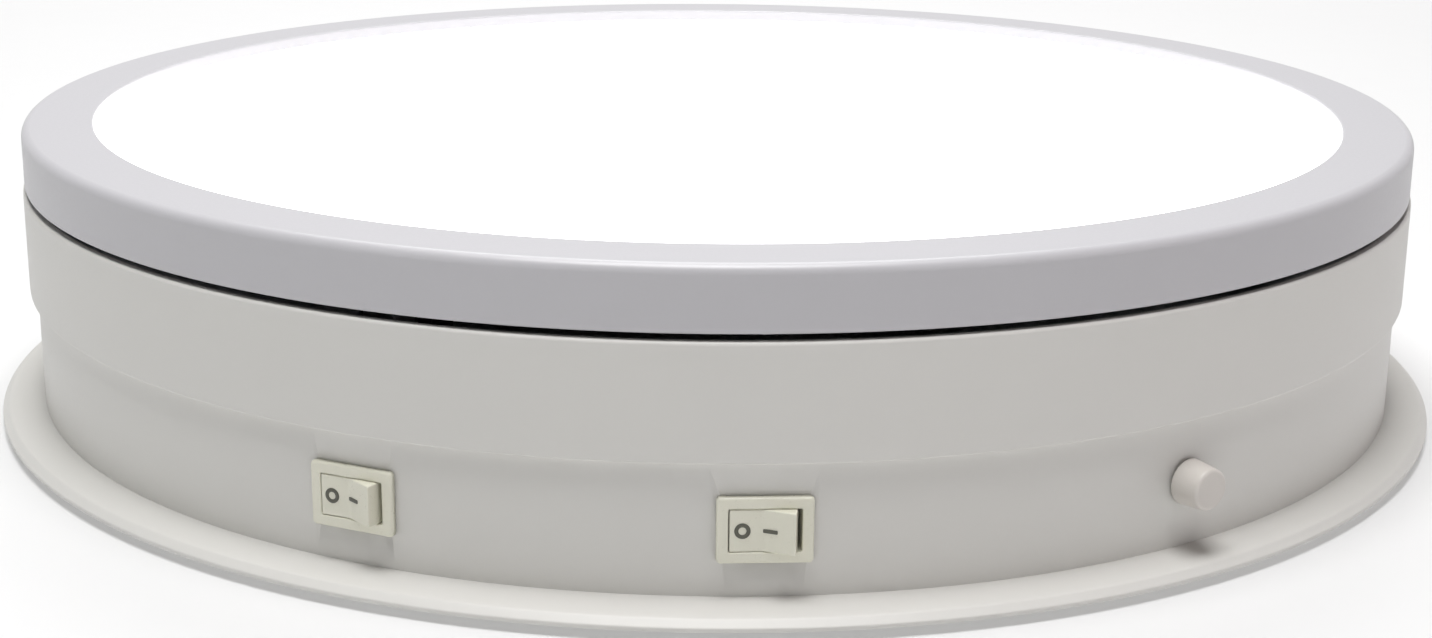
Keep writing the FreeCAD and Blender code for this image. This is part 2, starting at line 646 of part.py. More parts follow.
ring = new_part("trim_ring")
lathe(ring, [
    (S.ring_radius, S.ring_bottom), (S.ring_radius, S.ring_top), (S.lip_radius, S.ring_top),
    (S.lip_radius, panel_top + 0.1), (S.lip_radius + 2.5, panel_top + 0.1), (S.lip_radius + 2.5, lip_bottom),
    (ring_inner, lip_bottom), (ring_inner, S.ring_bottom)])
ring_boss = pad(ring, circle(sketch(ring, "XY", S.plate_top + 0.1),
                             S.ring_boss_circle, 0, S.ring_boss_radius),
                lip_bottom - S.plate_top)
around(ring, [ring_boss], S.ring_boss_count)
hole_ring(ring, S.plate_top, S.ring_boss_circle, thread_hole, S.ring_boss_count, 0.0, 8.0, up=True)
fillet(ring, S.ring_edge_rounding, at_height(S.ring_top, S.ring_radius))
fillet(ring, 0.5, at_height(S.ring_top, S.lip_radius))

panel = new_part("diffuser")
disc(panel, panel_bottom, panel_top, S.panel_radius)

pan = new_part("reflector_pan")
lathe(pan, [
    (9.0, S.plate_top + 0.1), (S.panel_radius, S.plate_top + 0.1), (S.panel_radius, panel_bottom),
    (S.panel_radius - 1.0, panel_bottom), (S.panel_radius - 1.0, S.plate_top + 1.1),
    (9.0, S.plate_top + 1.1)])

lamp_bottom = S.plate_top + 1.1
lamp_board = new_part("lamp_board")
disc(lamp_board, lamp_bottom, lamp_bottom + S.lamp_board_thickness, S.lamp_board_radius, 9.0)

lamps = new_part("lamp_chips")
for distance, count in ((22.0, 6), (55.0, 12), (90.0, 20), (124.0, 28), (155.0, 36)):
    chip = box(lamps, distance, 0, lamp_bottom + S.lamp_board_thickness,
               S.lamp_size, S.lamp_size, S.lamp_height)
    around(lamps, [chip], count)

back_plate = new_part("back_plate")
disc(back_plate, S.plate_bottom, S.plate_top, S.plate_radius, 9.0)
hole_ring(back_plate, S.plate_top, S.ring_boss_circle, shank_hole, S.ring_boss_count)
countersink = [(0, S.plate_bottom - 1.0), (shank_hole, S.plate_bottom - 1.0), (shank_hole, S.plate_top - 1.5),
               (shank_hole + 1.5, S.plate_top), (shank_hole + 1.5, S.plate_top + 1.0), (0, S.plate_top + 1.0)]
around(back_plate, [lathe_at(back_plate, S.hub_screw_circle, countersink, cut=True)], S.hub_screw_count)
screws("ring_screws", S.ring_boss_circle, S.ring_boss_count, S.plate_bottom, S.plate_top + 6.0)

hub_screws = new_part("hub_screws")
around(hub_screws, [lathe_at(hub_screws, S.hub_screw_circle, [
    (0, web_bottom - 1.0), (S.screw_radius, web_bottom - 1.0), (S.screw_radius, S.plate_top - 1.5),
    (S.screw_radius + 1.4, S.plate_top - 0.1), (0, S.plate_top - 0.1)])], S.hub_screw_count)

# ---------------------------------------------------------------- rocker switches
bezel_back = S.waist_radius + S.bezel_gap
bezel_face = bezel_back + S.bezel_thickness
pivot_y = -(S.waist_radius - S.rocker_pivot_depth)


def switch_housing(label, angle):
    body = new_part(label, angle)
    pad(body, rectangle(sketch(body, "XZ", bezel_back), 0, S.switch_height, S.bezel_length, S.bezel_height),
        S.bezel_thickness)
    pad(body, rectangle(sketch(body, "XZ", bezel_back), 0, S.switch_height, S.housing_length,
                        S.housing_height), S.housing_depth, inward=True)
    pocket(body, rectangle(sketch(body, "XZ", bezel_face), 0, S.switch_height, S.rocker_opening_length,
                           S.rocker_opening_height), 10.0)
    pocket(body, circle(sketch(body, "XY", S.switch_height), 0, pivot_y,
                        S.trunnion_radius + S.shaft_clearance), S.trunnion_span + 0.5, midplane=True)
    face = -bezel_face.value
    reach = (S.bezel_length.value - 1) / 2
    fillet(body, 0.6, lambda b: abs(b.YMin - face) < 1e-3 and abs(b.YMax - face) < 1e-3
           and max(-b.XMin, b.XMax) > reach)


def rocker(label, angle):
    """V-faced rocker, drawn level and then tilted so that its left end is pressed in."""
    body = new_part(label, angle)
    half, depth = S.rocker_half_length, S.rocker_pivot_depth
    dip = bezel_face - S.waist_radius + depth
    rise = half * math.tan(ROCKER_TILT)
    level = [(-1.0 * half, dip + rise), (0, dip - 0.1), (half, dip + rise), (half - 0.1, 0.0),
             (half * 0.8, -3.4), (half * -0.8, -3.4), (0.1 - half, 0.0)]
    c, k = math.cos(ROCKER_TILT), math.sin(ROCKER_TILT)
    tilted = [(size(u) * c - size(w) * k, pivot_y - (size(u) * k + size(w) * c)) for u, w in level]
    pad(body, polygon(sketch(body, "XY", S.switch_height), tilted), S.rocker_height, midplane=True)
    pad(body, circle(sketch(body, "XY", S.switch_height), 0, pivot_y, S.trunnion_radius),
        S.trunnion_span, midplane=True)


for side, angle in (("left", S.left_switch_angle), ("centre", 0.0)):
    switch_housing(side + "_switch_housing", angle)
    rocker(side + "_rocker", angle)
    terminals = new_part(side + "_switch_terminals", angle)
    for x in (-5.0, 5.0):
        pad(terminals, rectangle(sketch(terminals, "XZ", bezel_back - S.housing_depth), x, S.switch_height,
                                 0.8, 4.8), 8.0, inward=True)

# ---------------------------------------------------------------- speed knob
knob_start = -(S.waist_radius + S.knob_gap)
knob_end = knob_start - S.knob_length
knob = new_part("speed_knob", S.knob_angle)
lathe(knob, [
    (S.shaft_radius + S.thread_clearance, knob_start), (S.knob_base_radius, knob_start),
    (S.knob_base_radius, knob_start - 0.6), (S.knob_tip_radius + 0.1, knob_end + 0.7),
    (S.knob_tip_radius - 0.6, knob_end), (0, knob_end), (0, knob_end + 2.0),
    (S.shaft_radius + S.thread_clearance, knob_end + 2.0)], "XY", S.switch_height)

pot_back = 17.0 - S.waist_radius
pot_shaft = new_part("knob_shaft", S.knob_angle)
s = circle(sketch(pot_shaft, "XZ", -pot_back), 0, S.switch_height, S.shaft_radius)
pad(pot_shaft, s, -knob_end + pot_back - 2.3)

pot = new_part("potentiometer", S.knob_angle)
box(pot, 0, pot_back + 1.0, S.switch_height - 8.0, 16.0, 7.0, 16.0)
s = circle(sketch(pot, "XZ", -pot_back + 2.5), 0, S.switch_height, 4.2)
pad(pot, s, 6.0)
s = circle(sketch(pot, "XZ", -pot_back + 8.5), 0, S.switch_height, S.shaft_radius + S.shaft_clearance)
pocket(pot, s, 9.0)

pot_bracket = new_part("potentiometer_bracket", S.knob_angle)
front = pot_back - 2.5
box(pot_bracket, 0, front - 0.8, S.floor_top, 20.0, 1.6, 26.0)
box(pot_bracket, 0, front + 6.2, S.floor_top, 20.0, 14.0, 1.6)
s = circle(sketch(pot_bracket, "XZ", -front - 2.0), 0, S.switch_height, 4.3)
pocket(pot_bracket, s, 5.0, outward=True)

# ---------------------------------------------------------------- power inlet
inlet = new_part("power_inlet", 180.0)
pad(inlet, rectangle(sketch(inlet, "XZ", bezel_back), 0, S.switch_height,
                     S.inlet_length, S.inlet_height), 1.5)
pad(inlet, rectangle(sketch(inlet, "XZ", bezel_back), 0, S.switch_height, S.inlet_length - 3.4,
                     S.inlet_height - 3.4), 14.0, inward=True)
mouth = S.inlet_mouth_length - S.inlet_mouth_height
pocket(inlet, rectangle(sketch(inlet, "XZ", bezel_face), 0, S.switch_height, mouth, S.inlet_mouth_height),
       S.inlet_depth)
s = sketch(inlet, "XZ", bezel_face)
for x in (-1, 1):
    circle(s, mouth * (x / 2), S.switch_height, S.inlet_mouth_height / 2)
pocket(inlet, s, S.inlet_depth)

inlet_pins = new_part("inlet_pins", 180.0)
s = sketch(inlet_pins, "XZ", bezel_face - S.inlet_depth)
for x in (-1, 1):
    circle(s, S.inlet_pin_pitch * (x / 2), S.switch_height, S.inlet_pin_radius)
pad(inlet_pins, s, S.inlet_depth - 1.5)

# ---------------------------------------------------------------- electronics on the base plate
driver = new_part("lamp_driver_case")
box(driver, -75.0, 45.0, S.floor_top, S.driver_length, S.driver_width, S.driver_height)
fillet(driver, 2.0, lambda b: b.ZMax - b.ZMin > 20)
box(driver, -75.0, 45.0, S.floor_top, S.driver_length + 16.0, 18.0, 2.0)

board_x, board_y = 55.0, -70.0
board = new_part("control_board")
box(board, board_x, board_y, S.board_height, S.board_length, S.board_width, S.board_thickness)
corners = [(board_x + i * (S.board_length / 2 - 5), board_y + j * (S.board_width / 2 - 5))
           for i in (-1, 1) for j in (-1, 1)]
s = sketch(board, "XY", S.board_height + S.board_thickness)
for x, y in corners:
    circle(s, x, y, shank_hole)
pocket(board, s)

standoffs = new_part("board_standoffs")
for x, y in corners:
    pad(standoffs, circle(sketch(standoffs, "XY", S.floor_top), x, y, 3.0), S.board_height - S.floor_top)
    pad(standoffs, circle(sketch(standoffs, "XY", S.board_height), x, y, S.screw_radius), 4.0)

board_parts = new_part("board_parts")
board_top = S.board_height + S.board_thickness
for x, y, length, width, height in ((-14, 4, 18, 10, 3), (10, 14, 8, 6, 2), (10, 2, 8, 6, 2),
                                    (-6, -18, 20, 7, 9), (16, -18, 12, 7, 9), (-20, 18, 12, 7, 8)):
    box(board_parts, board_x + x, board_y + y, board_top, length, width, height)
for x, y in ((24, 6), (24, -5)):
    pad(board_parts, circle(sketch(board_parts, "XY", board_top), board_x + x, board_y + y, 4.0), 12.0)

# ---------------------------------------------------------------- build, check and export
doc.recompute()
bodies = [o for o in doc.Objects if o.TypeId == "PartDesign::Body"]
problems = ["%s: %s" % (o.Label, o.State) for o in doc.Objects if "Invalid" in o.State or "Error" in o.State]
problems += ["%s has no valid shape" % b.Label for b in bodies if b.Shape.isNull() or not b.Shape.isValid()]
if problems:
    raise RuntimeError("; ".join(problems))

os.makedirs("parts", exist_ok=True)
for body in bodies:
    body.Shape.exportStep("parts/%s.step" % body.Label)
    print("%-26s %2d solids %10.1f mm3" % (body.Label, len(body.Shape.Solids), body.Shape.Volume))
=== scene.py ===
"""Looks of the turntable display stand: smooth shells, rounded switches and knob, procedural materials,
a pale floor, soft studio light and a camera a little above and to the left of the front. Everything is
in metres."""
import math

import bmesh
import bpy
from mathutils import Matrix, Vector


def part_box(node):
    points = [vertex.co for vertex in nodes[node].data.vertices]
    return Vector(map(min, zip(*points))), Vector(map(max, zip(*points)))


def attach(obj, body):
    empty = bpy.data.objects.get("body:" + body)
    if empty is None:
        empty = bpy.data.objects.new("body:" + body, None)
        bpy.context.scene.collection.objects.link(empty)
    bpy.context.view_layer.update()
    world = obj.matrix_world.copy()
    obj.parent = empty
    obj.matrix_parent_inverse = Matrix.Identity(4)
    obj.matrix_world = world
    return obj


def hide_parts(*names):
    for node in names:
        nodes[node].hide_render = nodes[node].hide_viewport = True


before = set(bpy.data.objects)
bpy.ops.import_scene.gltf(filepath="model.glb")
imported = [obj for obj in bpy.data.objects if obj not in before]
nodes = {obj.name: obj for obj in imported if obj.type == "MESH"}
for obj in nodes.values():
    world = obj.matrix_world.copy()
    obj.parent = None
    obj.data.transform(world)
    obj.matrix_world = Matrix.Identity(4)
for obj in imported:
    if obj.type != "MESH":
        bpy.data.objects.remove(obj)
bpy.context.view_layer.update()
MM = 0.001

# ---------------------------------------------------------------- places read from the frame
ring_low, ring_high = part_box("trim_ring")
shell_low, shell_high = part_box("base_shell")
panel_low, panel_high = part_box("diffuser")
plate_low, plate_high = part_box("base_plate")
FOOT_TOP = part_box("rubber_feet")[1].z
bezel_low, bezel_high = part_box("centre_switch_housing")
RING_RADIUS, RING_TOP, RING_BOTTOM = ring_high.x, ring_high.z, ring_low.z
SHELL_BOTTOM, DRUM_TOP = shell_low.z, shell_high.z
FLANGE_RADIUS, FLANGE_BOTTOM, FLANGE_TOP = plate_high.x, plate_low.z, plate_high.z
PANEL_RADIUS, PANEL_TOP, PANEL_BOTTOM = panel_high.x, panel_high.z, panel_low.z
SWITCH_HEIGHT = (bezel_low.z + bezel_high.z) / 2
BEZEL_FACE = -bezel_low.y

# the same driving sizes as the CAD part
DRUM_RADIUS, DRUM_BOTTOM = 191.5 * MM, 36.5 * MM
WAIST_RADIUS, SHELL_WALL = 189.5 * MM, 2.5 * MM
DECK_BOTTOM = 39.0 * MM
LIP_RADIUS, LIP_THICKNESS, RING_WALL = 172.5 * MM, 2.4 * MM, 2.4 * MM
BOSS_CIRCLE, BOSS_COUNT, BOSS_ANGLE = 182.5 * MM, 6, 15.0
RING_BOSS_CIRCLE, RING_BOSS_COUNT, RING_BOSS_BOTTOM = 184.0 * MM, 8, 67.5 * MM
FOOT_CIRCLE, FOOT_COUNT, FOOT_ANGLE = 160.0 * MM, 6, 30.0
FLOOR_BOTTOM, FLOOR_TOP, FLOOR_RADIUS = 3.0 * MM, 5.0 * MM, 186.6 * MM
SCREW_HOLE_RADIUS, THREAD_HOLE_RADIUS, BOSS_RADIUS = 1.6 * MM, 1.55 * MM, 5.0 * MM
SEAT_RADIUS, VENT_COUNT = BOSS_CIRCLE - BOSS_RADIUS - 0.4 * MM, 24
VENT_CIRCLES, VENT_HALF_LENGTH, VENT_HALF_WIDTH = (62.0 * MM, 112.0 * MM), 11.0 * MM, 1.5 * MM
SHOULDER_RADIUS, SHOULDER_HEIGHT = 199.0 * MM, 4.9 * MM
LEFT_SWITCH_ANGLE, KNOB_ANGLE, INLET_ANGLE = -28.0, 31.1, 180.0
SWITCH_OPENING, INLET_OPENING, KNOB_HOLE_RADIUS = (19.1 * MM, 13.1 * MM), (21.0 * MM, 13.0 * MM), 3.6 * MM
ROCKER_TILT = math.radians(12)
SHANK_RADIUS, KNOB_BORE_RADIUS = 1.5 * MM, 3.02 * MM

ROUND_SEGMENTS = 288
ARC_STEPS = 6
CUT_REACH, SLIVER = 8 * MM, 0.002 * MM
MARK_DEPTH, MARK_PROUD = 0.25 * MM, 0.03 * MM


# ---------------------------------------------------------------- mesh helpers
def finish_mesh(name, bm, material, body, replaces=(), smooth=True):
    """Turn a bmesh into a piece that rides a body."""
    bmesh.ops.recalc_face_normals(bm, faces=bm.faces)
    mesh = bpy.data.meshes.new(name)
    bm.to_mesh(mesh)
    bm.free()
    piece = bpy.data.objects.new(name, mesh)
    bpy.context.scene.collection.objects.link(piece)
    mesh.materials.append(material)
    if smooth:
        mesh.shade_smooth()
        weighted = piece.modifiers.new("weighted_normals", "WEIGHTED_NORMAL")
        weighted.weight = 100
    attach(piece, body)
    if replaces:
        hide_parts(*replaces)
    return piece


def rounded(outline):
    """Corners given as (radius, height, rounding) become a closed outline with an arc at each corner."""
    points = []
    for i, (r, z, bend) in enumerate(outline):
        here = Vector((r, z))
        if bend <= 0:
            points.append(here)
            continue
        into = (Vector(outline[i - 1][:2]) - here).normalized()
        out = (Vector(outline[(i + 1) % len(outline)][:2]) - here).normalized()
        half = into.angle(out) / 2
        centre = here + (into + out).normalized() * (bend / math.sin(half))
        start = here + into * (bend / math.tan(half)) - centre
        end = here + out * (bend / math.tan(half)) - centre
        turn = start.angle(end)
        for k in range(ARC_STEPS + 1):
            t = k / ARC_STEPS
            swept = start * math.sin((1 - t) * turn) + end * math.sin(t * turn)
            points.append(centre + swept / math.sin(turn))
    return points


def spin(bm, outline, place=Matrix.Identity(4), segments=ROUND_SEGMENTS):
    """Add a closed (radius, height) outline turned about the local Z axis."""
    rings = []
    for k in range(segments):
        a = 2 * math.pi * k / segments
        rings.append([bm.verts.new(place @ Vector((p.x * math.cos(a), p.x * math.sin(a), p.y)))
                      for p in outline])
    count = len(outline)
    for k in range(segments):
        here, there = rings[k], rings[(k + 1) % segments]
        for i in range(count):
            j = (i + 1) % count
            if outline[i].x > 1e-7 or outline[j].x > 1e-7:
                bm.faces.new((here[i], here[j], there[j], there[i]))
    bmesh.ops.remove_doubles(bm, verts=bm.verts, dist=1e-7)


def rounded_rectangle(half_length, half_height, corner):
    """Points of a rounded rectangle, always the same number, so that two of them can be joined."""
    points = []
    for x, z, start in ((1, 1, 0), (-1, 1, 90), (-1, -1, 180), (1, -1, 270)):
        for k in range(ARC_STEPS + 1):
            a = math.radians(start + 90 * k / ARC_STEPS)
            points.append((x * (half_length - corner) + corner * math.cos(a),
                           z * (half_height - corner) + corner * math.sin(a)))
    return points


def rounded_rim(half_length, half_height, corner, rim, face):
    """Loops that round a frame's outer edge, from its side up to its face."""
    loops = []
    for k in range(ARC_STEPS + 1):
        a = math.pi / 2 * k / ARC_STEPS
        inset = rim * (1 - math.cos(a))
        loops.append((rounded_rectangle(half_length - inset, half_height - inset, corner - inset * 0.5),
                      face - rim * (1 - math.sin(a))))
    return loops


def loft(bm, loops, place):
    """Join loops of (x, z) points, each at its own distance outwards, and close both ends."""
    rows = [[bm.verts.new(place @ Vector((x, -out, z))) for x, z in loop] for loop, out in loops]
    for here, there in zip(rows, rows[1:]):
        for i in range(len(here)):
            j = (i + 1) % len(here)
            bm.faces.new((here[i], here[j], there[j], there[i]))
    bm.faces.new(rows[0])
    bm.faces.new(list(reversed(rows[-1])))


def facing(angle, out, height):
    """Place a front-facing piece at an angle from the front, a distance out and a height."""
    turn = Matrix.Rotation(math.radians(angle), 4, "Z")
    return turn @ Matrix.Translation(Vector((0, -out, height)))


# ---------------------------------------------------------------- materials
def socket(bsdf, name, value):
    bsdf.inputs[name].default_value = value


def surface(name, colour, roughness, grain=900.0, depth=0.02, shade=0.05, metallic=0.0, spread=0.08,
            stretch=(1, 1, 1), coat=0.0):
    """Procedural material: broad colour drift, uneven roughness and a fine bump, all in object space."""
    m = bpy.data.materials.new(name)
    m.use_nodes = True
    tree = m.node_tree
    bsdf = tree.nodes["Principled BSDF"]
    socket(bsdf, "Metallic", metallic)
    socket(bsdf, "Coat Weight", coat)
    coords = tree.nodes.new("ShaderNodeTexCoord")
    scale = tree.nodes.new("ShaderNodeMapping")
    scale.inputs["Scale"].default_value = stretch
    tree.links.new(coords.outputs["Object"], scale.inputs["Vector"])

    broad = tree.nodes.new("ShaderNodeTexNoise")
    broad.inputs["Scale"].default_value = 14.0
    broad.inputs["Detail"].default_value = 5.0
    tree.links.new(scale.outputs["Vector"], broad.inputs["Vector"])
    tint = tree.nodes.new("ShaderNodeMix")
    tint.data_type = "RGBA"
    tint.inputs["A"].default_value = (*[c * (1 - shade) for c in colour], 1)
    tint.inputs["B"].default_value = (*[min(1, c * (1 + shade)) for c in colour], 1)
    tree.links.new(broad.outputs["Fac"], tint.inputs["Factor"])
    tree.links.new(tint.outputs["Result"], bsdf.inputs["Base Color"])

    fine = tree.nodes.new("ShaderNodeTexNoise")
    fine.inputs["Scale"].default_value = grain
    fine.inputs["Detail"].default_value = 3.0
    tree.links.new(scale.outputs["Vector"], fine.inputs["Vector"])
    uneven = tree.nodes.new("ShaderNodeMapRange")
    uneven.inputs["To Min"].default_value = max(0.02, roughness - spread)
    uneven.inputs["To Max"].default_value = min(1.0, roughness + spread)
    tree.links.new(fine.outputs["Fac"], uneven.inputs["Value"])
    tree.links.new(uneven.outputs["Result"], bsdf.inputs["Roughness"])
    bump = tree.nodes.new("ShaderNodeBump")
    bump.inputs["Strength"].default_value = 1.0
    bump.inputs["Distance"].default_value = depth * MM
    tree.links.new(fine.outputs["Fac"], bump.inputs["Height"])
    tree.links.new(bump.outputs["Normal"], bsdf.inputs["Normal"])
    return m


def glowing_panel(name):
    """Opal acrylic lit from below: nearly even light, a touch weaker towards the rim."""
    m = surface(name, (0.93, 0.93, 0.925), 0.42, grain=700.0, depth=0.01, shade=0.01)
    tree = m.node_tree
    bsdf = tree.nodes["Principled BSDF"]
    coords = tree.nodes["Texture Coordinate"]
    distance = tree.nodes.new("ShaderNodeVectorMath")
    distance.operation = "LENGTH"
    tree.links.new(coords.outputs["Object"], distance.inputs[0])
    falloff = tree.nodes.new("ShaderNodeMapRange")
    falloff.inputs["From Min"].default_value = LIP_RADIUS * 0.8
    falloff.inputs["From Max"].default_value = LIP_RADIUS * 1.1
    falloff.inputs["To Min"].default_value = 1.0
    falloff.inputs["To Max"].default_value = 0.9
    tree.links.new(distance.outputs["Value"], falloff.inputs["Value"])
    tree.links.new(falloff.outputs["Result"], bsdf.inputs["Emission Color"])
    socket(bsdf, "Emission Strength", 1.6)
    return m


WHITE_SHELL = surface("white_shell", (0.705, 0.695, 0.665), 0.44, grain=1400.0, depth=0.010, shade=0.012)
GREY_RING = surface("grey_ring", (0.545, 0.538, 0.56), 0.36, grain=1100.0, depth=0.008, shade=0.012)
CREAM = surface("cream_switch", (0.78, 0.768, 0.65), 0.30, grain=1600.0, depth=0.006, shade=0.03, coat=0.1)
KNOB_WHITE = surface("white_knob", (0.66, 0.625, 0.585), 0.40, grain=1500.0, depth=0.008, shade=0.02)
MARK = surface("switch_mark", (0.11, 0.11, 0.085), 0.45, grain=2500.0, depth=0.004, shade=0.15)
OPAL = glowing_panel("opal_panel")
RUBBER = surface("foot_rubber", (0.025, 0.025, 0.026), 0.72, grain=1500.0, depth=0.04, shade=0.25)
ROLLER_RUBBER = surface("roller_rubber", (0.05, 0.05, 0.05), 0.65, grain=1800.0, depth=0.03, shade=0.2)
ZINC = surface("zinc_steel", (0.56, 0.57, 0.58), 0.32, grain=1200.0, depth=0.01, shade=0.1, metallic=1.0)
PRESSED = surface("pressed_steel", (0.50, 0.50, 0.51), 0.40, grain=700.0, depth=0.012, shade=0.1,
                  metallic=1.0, stretch=(1, 1, 6))
CHROME = surface("chrome_balls", (0.80, 0.80, 0.82), 0.07, grain=1800.0, depth=0.001, shade=0.03,
                 metallic=1.0, spread=0.03)
SHEET = surface("mill_aluminium", (0.66, 0.67, 0.68), 0.38, grain=300.0, depth=0.006, shade=0.05,
                metallic=1.0, stretch=(1, 12, 1))
TURNED = surface("turned_aluminium", (0.70, 0.70, 0.71), 0.30, grain=600.0, depth=0.008, shade=0.05,
                 metallic=1.0, stretch=(1, 1, 14))
BRASS = surface("brass", (0.68, 0.47, 0.20), 0.28, grain=900.0, depth=0.008, shade=0.1, metallic=1.0)
NYLON = surface("nylon_cage", (0.74, 0.70, 0.58), 0.50, grain=1000.0, depth=0.015, shade=0.04)
ACETAL = surface("acetal_gear", (0.80, 0.80, 0.77), 0.38, grain=1100.0, depth=0.012, shade=0.04)
BLACK = surface("black_plastic", (0.022, 0.022, 0.024), 0.50, grain=1600.0, depth=0.03, shade=0.2)
BOARD_WHITE = surface("white_board", (0.80, 0.80, 0.79), 0.35, grain=1000.0, depth=0.01, shade=0.03)
BOARD_GREEN = surface("green_board", (0.02, 0.17, 0.06), 0.30, grain=900.0, depth=0.015, shade=0.2)
LAMP = surface("lamp_phosphor", (0.80, 0.62, 0.12), 0.25, grain=1500.0, depth=0.02, shade=0.08)
CHIP = surface("chip_black", (0.03, 0.03, 0.034), 0.38, grain=1500.0, depth=0.02, shade=0.2)

CAD_FINISH = {
    "deck_plate": SHEET, "back_plate": SHEET, "foot_nuts": BRASS,
    "deck_screws": ZINC, "lower_race": PRESSED, "lower_race_screws": ZINC, "upper_race": PRESSED,
    "bearing_balls": CHROME, "ball_cage": NYLON, "hub": TURNED, "slip_ring_body": BLACK,
    "slip_ring_screws": ZINC, "slip_ring_rotor": BRASS, "driven_gear": ACETAL, "drive_pinion": BRASS,
    "motor_shaft": ZINC, "gearbox_case": PRESSED, "motor_can": PRESSED, "motor_screws": ZINC,
    "roller_brackets": PRESSED, "roller_pins": ZINC, "roller_screws": ZINC, "roller_1": ROLLER_RUBBER,
    "roller_2": ROLLER_RUBBER, "roller_3": ROLLER_RUBBER, "reflector_pan": TURNED, "lamp_board": BOARD_WHITE,
    "lamp_chips": LAMP, "ring_screws": ZINC, "hub_screws": ZINC, "left_switch_terminals": BRASS,
    "centre_switch_terminals": BRASS, "knob_shaft": ZINC, "potentiometer": PRESSED,
    "potentiometer_bracket": PRESSED, "inlet_pins": BRASS, "lamp_driver_case": BLACK,
    "control_board": BOARD_GREEN, "board_standoffs": BRASS, "board_parts": CHIP,
}
for node, material in CAD_FINISH.items():
    for place in nodes[node].material_slots:
        place.material = material


# ---------------------------------------------------------------- base shell and plate
def cut_away(piece, cutter_mesh):
    """Cut a bmesh out of a piece for good, and merge the slivers that the cut leaves."""
    cutter = finish_mesh("cutter", cutter_mesh, WHITE_SHELL, "base", smooth=False)
    cut = piece.modifiers.new("openings", "BOOLEAN")
    cut.operation = "DIFFERENCE"
    cut.solver = "EXACT"
    cut.object = cutter
    piece.modifiers.move(1, 0)
    piece.modifiers["weighted_normals"].show_viewport = False
    graph = bpy.context.evaluated_depsgraph_get()
    piece.data = bpy.data.meshes.new_from_object(piece.evaluated_get(graph))
    piece.modifiers.remove(cut)
    piece.modifiers["weighted_normals"].show_viewport = True
    bpy.data.objects.remove(cutter)
    bm = bmesh.new()
    bm.from_mesh(piece.data)
    bmesh.ops.remove_doubles(bm, verts=bm.verts, dist=SLIVER)
    bmesh.ops.dissolve_degenerate(bm, edges=bm.edges, dist=SLIVER)
    bm.to_mesh(piece.data)
    bm.free()


def on_circle(circle, count, first):
    """Places spread evenly on a circle about the centre."""
    for k in range(count):
        a = math.radians(first + 360 / count * k)
        yield Matrix.Translation(Vector((circle * math.cos(a), circle * math.sin(a), 0)))


def base_shell():
    """Drum and waist as one turned skin, with the openings for the switches, knob and inlet cut out."""
    waist_in, drum_in = WAIST_RADIUS - SHELL_WALL, DRUM_RADIUS - SHELL_WALL
    ledge_in = waist_in - 4.0 * MM
    bm = bmesh.new()
    spin(bm, rounded([
        (waist_in, SHELL_BOTTOM, 0), (WAIST_RADIUS, SHELL_BOTTOM, 0), (WAIST_RADIUS, DRUM_BOTTOM, 0.35 * MM),
        (DRUM_RADIUS, DRUM_BOTTOM, 0.6 * MM), (DRUM_RADIUS, DRUM_TOP, 0.8 * MM),
        (drum_in, DRUM_TOP, 0.4 * MM), (drum_in, DECK_BOTTOM, 0), (ledge_in, DECK_BOTTOM, 0),
        (ledge_in, DECK_BOTTOM - 3.0 * MM, 0), (waist_in, DECK_BOTTOM - 7.0 * MM, 0)]))
    shell = finish_mesh("base_shell_skin", bm, WHITE_SHELL, "base", ["base_shell"])
    openings = [(angle, rounded_rectangle(length / 2, height / 2, 0.5 * MM)) for angle, (length, height) in (
        (0.0, SWITCH_OPENING), (LEFT_SWITCH_ANGLE, SWITCH_OPENING), (INLET_ANGLE, INLET_OPENING))]
    openings.append((KNOB_ANGLE, rounded_rectangle(KNOB_HOLE_RADIUS, KNOB_HOLE_RADIUS,
                                                   KNOB_HOLE_RADIUS - 0.01 * MM)))
    cutter_mesh = bmesh.new()
    for angle, outline in openings:
        loft(cutter_mesh, [(outline, WAIST_RADIUS - CUT_REACH), (outline, WAIST_RADIUS + CUT_REACH)],
             facing(angle, 0, SWITCH_HEIGHT))
    cut_away(shell, cutter_mesh)

    bm = bmesh.new()
    for place in on_circle(BOSS_CIRCLE, BOSS_COUNT, BOSS_ANGLE):
        spin(bm, rounded([(THREAD_HOLE_RADIUS, SHELL_BOTTOM, 0), (BOSS_RADIUS, SHELL_BOTTOM, 0.4 * MM),
                          (BOSS_RADIUS, DECK_BOTTOM, 0), (THREAD_HOLE_RADIUS, DECK_BOTTOM, 0)]), place, 32)
    finish_mesh("shell_bosses", bm, WHITE_SHELL, "base")


